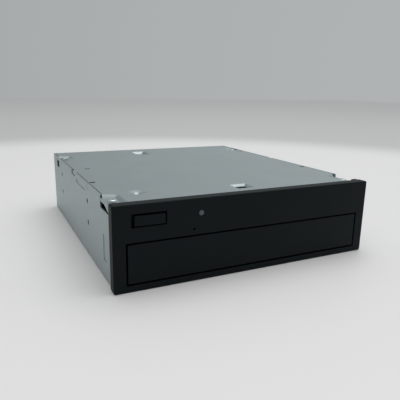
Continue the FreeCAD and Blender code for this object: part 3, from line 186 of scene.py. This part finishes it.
# Gold flashed over nickel, stamped: warm and bright
contactGold = grained({
    "name": "goldPlatedStamped", "shader": {"Metallic": 1.0},
    "tones": ("#d9ad55", "#e8c474"), "patch": (1.5, 1.5, 1.5),
    "grain": (0.15, 1.0, 0.15), "gloss": (0.18, 0.3), "relief": 0.005, "strength": 0.2, "edge": 0.05})
# Vulcanised rubber: soft black that drinks the light
bushRubber = grained({
    "name": "blackRubberVulcanised", "shader": {"IOR": 1.52, "Specular IOR Level": 0.3},
    "tones": ("#141414", "#1d1d1d"), "patch": (3.0, 3.0, 3.0),
    "grain": (0.3, 0.3, 0.3), "gloss": (0.65, 0.85), "relief": 0.03, "strength": 0.3, "edge": 0.15})
# Sintered ferrite: dark grey, gritty
magnetFerrite = grained({
    "name": "sinteredFerrite", "shader": {"Metallic": 0.35},
    "tones": ("#3b3c3f", "#4a4b4e"), "patch": (1.5, 1.5, 1.5),
    "grain": (0.2, 0.2, 0.2), "gloss": (0.5, 0.7), "relief": 0.02, "strength": 0.35, "edge": 0.1})
# Zinc alloy, die-cast and tumbled: dull silver with a cast skin
pickupAlloy = grained({
    "name": "dieCastAlloyTumbled", "shader": {"Metallic": 1.0},
    "tones": ("#9b9d9f", "#adafb0"), "patch": (3.0, 3.0, 3.0),
    "grain": (0.35, 0.35, 0.35), "gloss": (0.38, 0.55), "relief": 0.03, "strength": 0.35, "edge": 0.2})
# Lens polymer, moulded and coated: clear with a faint blue reflex
lensGlass = grained({
    "name": "coatedLensMoulded", "shader": {"IOR": 1.54, "Transmission Weight": 0.9, "Coat Weight": 0.4,
                                            "Coat Tint": "#8fa6e8"},
    "tones": ("#dfe8f2", "#e9f0f7"), "patch": (2.0, 2.0, 2.0),
    "grain": (0.5, 0.5, 0.5), "gloss": (0.02, 0.05), "relief": 0.001, "strength": 0.05, "edge": 0.05})


def banded(spec):  # two tones in even bands across one axis, with the relief of the bands
    material, tree, sockets, place = newMaterial(spec["name"], spec["shader"])
    bands = addNode(tree, "TexWave", {"bands_direction": spec["axis"], "Scale": bandScale(spec["spacing"])},
                    {"Vector": place})
    tones = addNode(tree, "ValToRGB", {"stops": spec["stops"]}, {"Fac": bands.outputs["Fac"]})
    relief = addNode(tree, "Bump", {"Strength": spec["strength"], "Distance": spec["relief"] * mm},
                     {"Height": bands.outputs["Fac"]})
    tree.links.new(tones.outputs["Color"], sockets["Base Color"])
    tree.links.new(relief.outputs["Normal"], sockets["Normal"])
    return material


# Polyester flat cable: milky film with tinned strips a millimetre apart along it
ribbonFilm = banded({
    "name": "polyesterFlatCable", "shader": {"Roughness": 0.3, "IOR": 1.6},
    "axis": "X", "spacing": 1.0, "stops": [(0.45, "#e3e3dd"), (0.6, "#b4b6b6")],
    "relief": 0.05, "strength": 0.3})
# Enamelled copper wire, wound: reddish and glossy, its turns a third of a millimetre apart; the darker tone
# in the grooves between turns is painted shade
coilCopper = banded({
    "name": "enamelledCopperWound", "shader": {"Metallic": 1.0, "Roughness": 0.28},
    "axis": "Z", "spacing": 0.35, "stops": [(0.2, "#7c3d1c"), (0.7, "#c9743f")],
    "relief": 0.15, "strength": 0.6})


def tracked(spec):  # rows of tracks under a mask, on the relief of a woven core
    material, tree, sockets, place = newMaterial(spec["name"], spec["shader"])
    lanes = addNode(tree, "Mapping", {"Scale": perMetre(*spec["lane"])}, {"Vector": place})
    tracks = addNode(tree, "TexBrick", spec["tracks"], {"Vector": lanes.outputs[0]})
    weave = addNode(tree, "TexWave", {"Scale": bandScale(spec["thread"]), "Distortion": spec["wander"]},
                    {"Vector": place})
    relief = addNode(tree, "Bump", {"Strength": spec["strength"], "Distance": spec["relief"] * mm},
                     {"Height": weave.outputs["Fac"]})
    tree.links.new(tracks.outputs["Color"], sockets["Base Color"])
    tree.links.new(relief.outputs["Normal"], sockets["Normal"])
    return material


# Glass-epoxy board under green solder mask: tracks show through as paler lines, on a fine glass weave
boardLaminate = tracked({
    "name": "glassEpoxyGreenMask", "shader": {"Roughness": 0.35, "IOR": 1.55}, "lane": (3.2, 2.1, 50.0),
    "tracks": {"offset": 0.37, "Scale": 1.0, "Mortar Size": 0.09, "Mortar Smooth": 0.15, "Brick Width": 2.6,
               "Row Height": 0.6, "Color1": "#12472b", "Color2": "#164d30", "Mortar": "#2f7a4c"},
    "thread": 0.28125, "wander": 0.5, "relief": 0.02, "strength": 0.2})

finishes = {
    "zinc_steel": zincSteel, "bright_steel": brightSteel, "bezel_plastic": bezelPlastic,
    "tray_plastic": trayPlastic, "chassis_plastic": chassisPlastic, "gear_plastic": gearPlastic,
    "lamp_plastic": lampPlastic, "chip_resin": chipResin, "capacitor_can": capacitorCan,
    "connector_plastic": connectorPlastic, "contact_gold": contactGold, "bush_rubber": bushRubber,
    "magnet_ferrite": magnetFerrite, "pickup_alloy": pickupAlloy, "lens_glass": lensGlass,
    "board_laminate": boardLaminate, "ribbon_film": ribbonFilm, "coil_copper": coilCopper}
for node in nodes.values():
    for holder in node.material_slots:
        holder.material = finishes[holder.material.name.split(".")[0]]
print("finishes on", len(nodes), "nodes")


def finishPiece(name, mesh, body, slot, replaced=()):
    piece = bpy.data.objects.new(name, mesh)
    bpy.context.scene.collection.objects.link(piece)
    mesh.materials.clear()
    mesh.materials.append(finishes[slot])
    if body:  # a piece without a body is left unattached here
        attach(piece, body)
    if replaced:
        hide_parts(*replaced)
    return piece


def mergedCopy(node):
    shape = bmesh.new()
    shape.from_mesh(nodes[node].data)
    bmesh.ops.remove_doubles(shape, verts=shape.verts, dist=sameSpot)
    return shape


def toMesh(shape, name):
    mesh = bpy.data.meshes.new(name)
    shape.to_mesh(mesh)
    shape.free()
    return mesh


def shadeSmooth(shape):  # every bend is soft apart from the crisp ones
    for face in shape.faces:
        face.smooth = True
    for edge in shape.edges:
        edge.smooth = math.degrees(edge.calc_face_angle(math.pi)) < crispBend


def inBox(vert, box):  # a box in the drive's own millimetres: across, back from the bezel's front, up
    place = (vert.co + Vector((0, halfDepth, 0))) / mm
    return all(low < at < high for low, at, high in zip(box[0], place, box[1]))


def pressedEdges(shape, spec):
    # the bends of a pressed form: steeper than a facet of a round hole and flatter than a sheared edge
    found = []
    for edge in shape.edges:
        if all(inBox(vert, spec["box"]) for vert in edge.verts) and len(edge.link_faces) == 2:
            bend = math.degrees(edge.calc_face_angle(0.0))
            if spec["bend"][0] < bend < spec["bend"][1]:
                found.append(edge)
    return found


def isSheared(face, spec):  # the faces where the sheet is cut off at its sides
    outside = abs(face.calc_center_median().x) > spec["sideEdge"] * mm
    return outside and abs(face.normal.x) > spec["sideFacing"]


def softenedCopy(spec):
    shape = mergedCopy(spec["node"])
    flat = math.radians(spec["flat"])
    bmesh.ops.dissolve_limit(shape, angle_limit=flat, verts=shape.verts, edges=shape.edges)
    for shift in spec["shifts"]:
        verts = [vert for vert in shape.verts if inBox(vert, shift["box"])]
        bmesh.ops.translate(shape, verts=verts, vec=Vector(shift["move"]) * mm)
    for form in spec["forms"]:
        edges = pressedEdges(shape, form)
        made = bmesh.ops.bevel(shape, geom=edges, offset=form["radius"] * mm, offset_type="OFFSET",
                               affect="EDGES", segments=spec["segments"], profile=0.5, material=-1,
                               clamp_overlap=True)
        print(spec["node"], "form", form["box"][0], "bends", len(edges), "faces", len(made["faces"]))
    shape.normal_update()
    shadeSmooth(shape)
    for edge in shape.edges:
        if any(isSheared(face, spec) for face in edge.link_faces):
            edge.smooth = False
    return toMesh(shape, spec["node"] + "Soft")


# the base plate's pressed pads, pockets and dish, with the rounding that a press tool leaves
plateSpec = {
    "node": "base_plate", "flat": 1.0, "segments": 3, "sideFacing": 0.8, "sideEdge": 71.5,
    # the front left pad has a longer lean at its back and a narrower floor, and the front right one is deeper
    "shifts": [
        {"box": ((-74.0, 20.0, 40.2), (-62.0, 27.5, 42.0)), "move": (0.0, -1.2, 0.0)},
        {"box": ((-72.0, 23.6, 38.0), (-71.0, 27.5, 40.2)), "move": (-1.0, -3.2, 0.0)},
        {"box": ((-71.0, 18.0, 38.0), (-62.0, 27.5, 40.2)), "move": (0.0, -3.2, 0.0)},
        {"box": ((-67.5, 5.0, 38.0), (-62.0, 27.5, 42.0)), "move": (-1.3, 0.0, 0.0)},
        {"box": ((62.0, 5.0, 35.0), (74.0, 27.5, 40.2)), "move": (0.0, 0.0, -0.6)}],
    "forms": [
        {"box": ((-72.5, 5.0, 38.0), (-60.5, 30.0, 42.0)), "radius": 0.95, "bend": (14.0, 75.0)},
        {"box": ((-72.5, 133.0, 38.0), (-60.5, 155.0, 42.0)), "radius": 0.95, "bend": (14.0, 75.0)},
        {"box": ((60.5, 5.0, 38.0), (72.5, 30.0, 42.0)), "radius": 0.95, "bend": (14.0, 75.0)},
        {"box": ((60.5, 133.0, 38.0), (72.5, 155.0, 42.0)), "radius": 0.95, "bend": (14.0, 75.0)},
        {"box": ((-7.0, 8.0, 38.0), (8.0, 24.0, 42.0)), "radius": 0.35, "bend": (14.0, 75.0)},
        {"box": ((-18.0, 135.0, 37.0), (-4.0, 158.0, 42.0)), "radius": 0.6, "bend": (14.0, 75.0)},
        {"box": ((-61.0, 16.0, 38.0), (-49.0, 28.0, 42.0)), "radius": 0.5, "bend": (9.0, 75.0)}]}
plate = finishPiece("plateSheet", softenedCopy(plateSpec), "case", "zinc_steel", [plateSpec["node"]])
evening = plate.modifiers.new("even shading", "WEIGHTED_NORMAL")
evening.keep_sharp = True
print("plate softened")


# the pickup's flat cable is in two lengths, cut at the back of its loop, because it crosses two joints
ribbon = {"node": "pickup_ribbon", "film": 0.4, "rows": 12, "lengths": {
    "ribbonBoardLength": {"upper": True, "from": "case", "to": "traverse"},
    "ribbonPickupLength": {"upper": False, "from": "traverse", "to": "pickup"}}}


def cutLevel(shape, level, **cleared):
    everything = shape.verts[:] + shape.edges[:] + shape.faces[:]
    return bmesh.ops.bisect_plane(shape, geom=everything, dist=sameSpot / 2, plane_co=(0, 0, level),
                                  plane_no=(0, 0, 1), **cleared)


def ribbonMesh(name, foot, head, upper):
    shape = mergedCopy(ribbon["node"])
    for row in range(1, ribbon["rows"]):  # rows of points up the loop, so that it can bend
        cutLevel(shape, foot + (head - foot) * row / ribbon["rows"])
    cut = cutLevel(shape, (foot + head) / 2, clear_inner=upper, clear_outer=not upper)
    rim = [part for part in cut["geom_cut"] if isinstance(part, bmesh.types.BMEdge)]
    bmesh.ops.holes_fill(shape, edges=rim)
    bmesh.ops.recalc_face_normals(shape, faces=shape.faces)
    shadeSmooth(shape)
    return toMesh(shape, name)


foot, head = (corner.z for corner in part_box(ribbon["node"]))
for name, length in ribbon["lengths"].items():
    mesh = ribbonMesh(name, foot, head, length["upper"])
    cable = finishPiece(name, mesh, None, "ribbon_film", [ribbon["node"]])
    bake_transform(cable)
print("ribbon in", len(ribbon["lengths"]), "lengths")


# every screw has a domed head with a cross recess, on a threaded shank: shares of its head, core and pitch
screwForm = {
    "dome": ((1.0, 0.45), (0.93, 0.75), (0.72, 0.93), (0.4, 1.0)), "around": 32,
    "tipWidth": 0.6, "tipLength": 0.5,
    "recess": (1.15, 0.24, 1.3), "recessFloor": (0.45, 0.6, 1.0),
    "root": 0.96, "crestHeight": 0.4, "ridgeWidth": 0.8, "stepsPerTurn": 18}


def headAndShank(spec):  # the seat is at the origin and the head is up
    radius, height = spec["headRadius"] * mm, spec["headHeight"] * mm
    core, length = spec["core"] * mm, spec["length"] * mm
    outline = [(0, -length), (core * screwForm["tipWidth"], -length),
               (core, -length + core * screwForm["tipLength"]), (core, 0), (radius, 0)]
    outline += [(radius * across, height * up) for across, up in screwForm["dome"]] + [(0, height)]
    shape = bmesh.new()
    corners = [shape.verts.new((r, 0, z)) for r, z in outline]
    edges = [shape.edges.new(pair) for pair in zip(corners, corners[1:])]
    bmesh.ops.spin(shape, geom=corners + edges, axis=(0, 0, 1), cent=(0, 0, 0), steps=screwForm["around"],
                   angle=math.tau, use_merge=True)
    bmesh.ops.remove_doubles(shape, verts=shape.verts, dist=sameSpot / 2)
    bmesh.ops.recalc_face_normals(shape, faces=shape.faces)
    return toMesh(shape, "screwHead")


def crossRecess(spec):
    radius, height = spec["headRadius"] * mm, spec["headHeight"] * mm
    long, wide, deep = screwForm["recess"]
    cutter = bmesh.new()
    for turn in (0, math.pi / 2):
        bar = bmesh.ops.create_cube(cutter, size=1.0)["verts"]
        bmesh.ops.scale(cutter, vec=(radius * long, radius * wide, height * deep), verts=bar)
        bmesh.ops.scale(cutter, vec=screwForm["recessFloor"], verts=[vert for vert in bar if vert.co.z < 0])
        bmesh.ops.translate(cutter, vec=(0, 0, height), verts=bar)
        bmesh.ops.rotate(cutter, verts=bar, matrix=Matrix.Rotation(turn, 3, "Z"))
    return toMesh(cutter, "screwRecess")


def threadRidge(spec):  # one V of thread, wound up the shank
    core, crest, length = spec["core"] * mm, spec["crest"] * mm, spec["length"] * mm
    pitch, steps = spec["pitch"] * mm, screwForm["stepsPerTurn"]
    turns = int((length - core) / pitch) - 1
    low = -length + core * screwForm["tipLength"]
    root = core * screwForm["root"]
    profile = ((root, 0), (crest, pitch * screwForm["crestHeight"]), (root, pitch * screwForm["ridgeWidth"]))
    thread = bmesh.new()
    ridge = [thread.verts.new((r, 0, low + z)) for r, z in profile]
    end = thread.faces.new(ridge)
    bmesh.ops.spin(thread, geom=ridge + end.edges[:] + [end], axis=(0, 0, 1), cent=(0, 0, 0),
                   steps=steps * turns, angle=math.tau * turns, dvec=(0, 0, pitch / steps))
    bmesh.ops.recalc_face_normals(thread, faces=thread.faces)
    return thread


def screwMesh(spec):
    head = bpy.data.objects.new("screwHead", headAndShank(spec))
    recess = bpy.data.objects.new("screwRecess", crossRecess(spec))
    for thing in (head, recess):
        bpy.context.scene.collection.objects.link(thing)
    cut = head.modifiers.new("recess", "BOOLEAN")
    cut.operation = "DIFFERENCE"
    cut.solver = "EXACT"
    cut.use_self = True
    cut.object = recess
    reading = bpy.context.evaluated_depsgraph_get()
    done = bpy.data.meshes.new_from_object(head.evaluated_get(reading))
    for thing in (head, recess):
        bpy.data.objects.remove(thing)
    thread = threadRidge(spec)
    thread.from_mesh(done)
    thread.to_mesh(done)
    thread.free()
    return done


def placeScrews(name, spec, body, replaced=()):
    one = screwMesh(spec)
    group = bmesh.new()
    for x, d, z, up in spec["places"]:
        start = len(group.verts)
        group.from_mesh(one)
        group.verts.ensure_lookup_table()
        verts = group.verts[start:]
        # each stops at an angle of its own
        stop = Matrix.Rotation(spec["turn"] * (1 + x % spec["stops"]), 3, "Z")
        flip = Matrix.Rotation(0 if up else math.pi, 3, "X")
        bmesh.ops.rotate(group, verts=verts, matrix=stop @ flip)
        bmesh.ops.translate(group, verts=verts, vec=(x * mm, d * mm - halfDepth, z * mm))
    return finishPiece(name, toMesh(group, name), body, "bright_steel", replaced)


# a place is across, back from the bezel's front and up to the seat, and says whether the head is up
plateScrews = {
    "headRadius": 2.3, "headHeight": 1.3, "core": 0.95, "crest": 1.2, "length": 8.0, "pitch": 0.6,
    "turn": 0.35, "stops": 7,
    "places": [(-69.8, 13.6, 39.9, True), (68.0, 13.6, 39.3, True), (-68.9, 144.2, 39.9, True),
               (68.9, 144.2, 39.9, True)]}
placeScrews("plateScrews", plateScrews, "case", ["base_screws"])
boardScrews = {
    "headRadius": 2.0, "headHeight": 1.1, "core": 0.8, "crest": 1.0, "length": 6.0, "pitch": 0.6,
    "turn": 0.5, "stops": 7,
    "places": [(-55.0, 104.0, 37.1, True), (-55.0, 156.0, 37.1, True), (55.0, 104.0, 37.1, True),
               (55.0, 156.0, 37.1, True), (-58.0, 28.5, 37.1, True), (31.0, 28.5, 37.1, True)]}
placeScrews("boardScrews", boardScrews, "case")
motorScrews = dict(boardScrews, length=3.6, places=[(16.0, 14.9, 19.0, False), (16.0, 31.9, 19.0, False)])
placeScrews("motorScrews", motorScrews, "case")
traverseScrews = dict(boardScrews, length=3.4, places=[
    (-15.4, 58.05, 23.4, True), (15.4, 58.05, 23.4, True), (-15.4, 79.45, 23.4, True),
    (28.7, 77.8, 23.4, True)])
placeScrews("traverseScrews", traverseScrews, "traverse")
print("screws placed")


# the far grey tone and its fade are painted shade on the floor, darker away from the light
stage = {"reach": 3.0, "tone": "#e4e4e3", "paintedShadeTone": "#c0c1c1", "paintedShadeFade": (0.42, 0.60)}
ground = bmesh.new()
bmesh.ops.create_grid(ground, x_segments=1, y_segments=1, size=stage["reach"])
floorMesh = toMesh(ground, "paleTable")
floor = bpy.data.objects.new("paleTable", floorMesh)
bpy.context.scene.collection.objects.link(floor)
# Melamine table top: pale and satin; further out its colour goes over to grey, which is painted shade away
# from the light
paleMelamine, tree, sockets, place = newMaterial("paleMelamine", {
    "IOR": 1.5, "Specular IOR Level": 0.2, "Roughness": 0.45})
away = addNode(tree, "VectorMath", {"operation": "LENGTH"}, {0: place})
paintedShadeFade = addNode(tree, "MapRange", {"interpolation_type": "SMOOTHSTEP", "From Min": stage["paintedShadeFade"][0],
                                  "From Max": stage["paintedShadeFade"][1]}, {"Value": away.outputs["Value"]})
tone = addNode(tree, "ValToRGB", {"stops": [(0.0, stage["tone"]), (1.0, stage["paintedShadeTone"])]},
               {"Fac": paintedShadeFade.outputs["Result"]})
tree.links.new(tone.outputs["Color"], sockets["Base Color"])
floorMesh.materials.append(paleMelamine)

# the dome is paler overhead and to the right, with a dim patch high at the back
sky = {"byHeight": [(0.0, "#919494"), (0.64, "#919494"), (0.75, "#b0b2b3"), (1.0, "#fafafa")],
       "brightSide": (0.86, 0.51, 0.0), "dim": 0.88, "bright": 1.52,
       "shadeSide": (-0.2, 0.72, 0.665), "shadeFrom": (0.8, 0.96), "shade": 0.66}
world = bpy.data.worlds.new("studio")
bpy.context.scene.world = world
world.use_nodes = True
dome = world.node_tree
dome.nodes.clear()
direction = addNode(dome, "TexCoord").outputs["Generated"]
parts = addNode(dome, "SeparateXYZ", {}, {"Vector": direction})
height = addNode(dome, "MapRange", {"From Min": -1.0, "From Max": 1.0}, {"Value": parts.outputs["Z"]})
tint = addNode(dome, "ValToRGB", {"stops": sky["byHeight"]}, {"Fac": height.outputs["Result"]})
side = addNode(dome, "VectorMath", {"operation": "DOT_PRODUCT", 1: sky["brightSide"]}, {0: direction})
glow = addNode(dome, "MapRange", {"From Min": -1.0, "From Max": 1.0, "To Min": sky["dim"],
                                  "To Max": sky["bright"]}, {"Value": side.outputs["Value"]})
corner = addNode(dome, "VectorMath", {"operation": "DOT_PRODUCT", 1: sky["shadeSide"]}, {0: direction})
shade = addNode(dome, "MapRange", {"interpolation_type": "SMOOTHSTEP", "From Min": sky["shadeFrom"][0],
                                   "From Max": sky["shadeFrom"][1], "To Min": 1.0, "To Max": sky["shade"]},
                {"Value": corner.outputs["Value"]})
level = addNode(dome, "Math", {"operation": "MULTIPLY"},
                {0: glow.outputs["Result"], 1: shade.outputs["Result"]})
back = addNode(dome, "Background", {}, {"Color": tint.outputs["Color"], "Strength": level.outputs["Value"]})
addNode(dome, "OutputWorld", {}, {"Surface": back.outputs["Background"]})

lamps = {"overhead": {"place": (0.3, 0.0, 1.6), "size": 1.8, "power": 9.0}}
for name, lamp in lamps.items():
    light = bpy.data.lights.new(name, "AREA")
    light.shape = "DISK"
    light.size = lamp["size"]
    light.energy = lamp["power"]
    holder = bpy.data.objects.new(name, light)
    bpy.context.scene.collection.objects.link(holder)
    holder.location = lamp["place"]
    holder.rotation_mode = "QUATERNION"
    holder.rotation_quaternion = (-Vector(lamp["place"])).to_track_quat("-Z", "Y")

shot = {"place": (-120.92, -262.39, 91.17), "look": (0.43115, 0.86808, -0.24595), "roll": 1.1,
        "lens": 39.84, "sensor": 36.0, "near": 0.01, "far": 20.0}
lens = bpy.data.cameras.new("photoCamera")
lens.lens = shot["lens"]
lens.sensor_width = shot["sensor"]
lens.clip_start = shot["near"]
lens.clip_end = shot["far"]
camera = bpy.data.objects.new("photoCamera", lens)
bpy.context.scene.collection.objects.link(camera)
camera.location = Vector(shot["place"]) * mm
camera.rotation_mode = "QUATERNION"
camera.rotation_quaternion = (Vector(shot["look"]).to_track_quat("-Z", "Y")
                              @ Quaternion((0, 0, 1), math.radians(shot["roll"])))
bpy.context.scene.camera = camera
bpy.context.scene.view_settings.view_transform = "Standard"
print("stage set")
